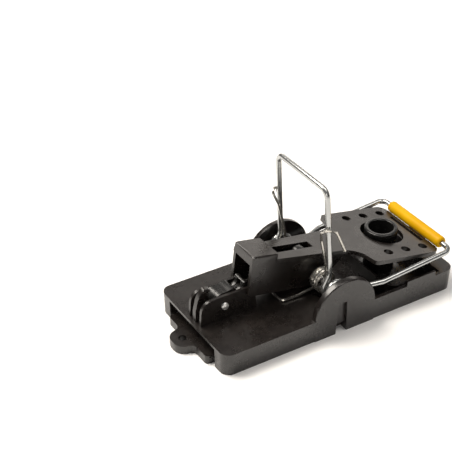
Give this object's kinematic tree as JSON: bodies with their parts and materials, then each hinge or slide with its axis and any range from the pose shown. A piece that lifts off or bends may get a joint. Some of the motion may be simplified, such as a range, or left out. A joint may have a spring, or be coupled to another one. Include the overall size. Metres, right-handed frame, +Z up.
{
  "type": "snap mouse trap",
  "caption": "Moulded plastic snap mouse trap with a sprung wire bow, yellow grip, bait cup, perforated treadle and rear catch, shown closed.",
  "frame": {"origin": "on the floor under the middle of the base body, without the hanging lug", "axes": "+X to the bait and grip end, +Z up, Y across the trap; the trap's two halves mirror each other about Y"},
  "size_m": [0.1253, 0.0524, 0.0654],
  "materials": {
    "black_plastic": "satin black moulding",
    "treadle_plastic": "satin black moulding",
    "catch_plastic": "satin black moulding",
    "lever_plastic": "satin black moulding",
    "cup_plastic": "satin black moulding",
    "chromed_wire": "bright chrome",
    "spring_wire": "bright drawn spring steel",
    "spring_leg_wire_left": "bright drawn spring steel",
    "spring_leg_wire_right": "bright drawn spring steel",
    "pin_steel": "bright steel",
    "catch_pin_steel": "bright steel",
    "yellow_grip": "deep yellow, semi-gloss"
  },
  "bodies": {
    "base": {"base_body": "black_plastic", "bait_cup": "cup_plastic", "treadle_pin": "pin_steel", "catch_pin": "catch_pin_steel", "torsion_spring": "spring_wire"},
    "bow": {"bow_wire": "chromed_wire", "grip_sleeve": "yellow_grip", "spring_leg_right": "spring_leg_wire_right", "spring_leg_left": "spring_leg_wire_left"},
    "treadle": {"treadle": "treadle_plastic"},
    "catch": {"catch": "catch_plastic"},
    "release_lever": {"release_lever": "lever_plastic"}
  },
  "joints": [
    {"name": "bow_swing", "type": "hinge", "parent": "base", "child": "bow", "pos_m": [-0.0014, 0, 0.017], "axis": [0, -1, 0], "range_deg": [0, 74], "stiffness_Nm_per_rad": 0.16, "springref_deg": -51.57},
    {"name": "treadle_tilt", "type": "hinge", "parent": "base", "child": "treadle", "pos_m": [-0.0014, 0, 0.017], "axis": [0, -1, 0], "range_deg": [0, 8.9]},
    {"name": "catch_turn", "type": "hinge", "parent": "base", "child": "catch", "pos_m": [-0.0446, 0, 0.0165], "axis": [0, -1, 0], "range_deg": [0, 75]},
    {"name": "lever_lift", "type": "hinge", "parent": "base", "child": "release_lever", "pos_m": [-0.0446, 0, 0.0165], "axis": [0, -1, 0], "range_deg": [0, 12]}
  ]
}
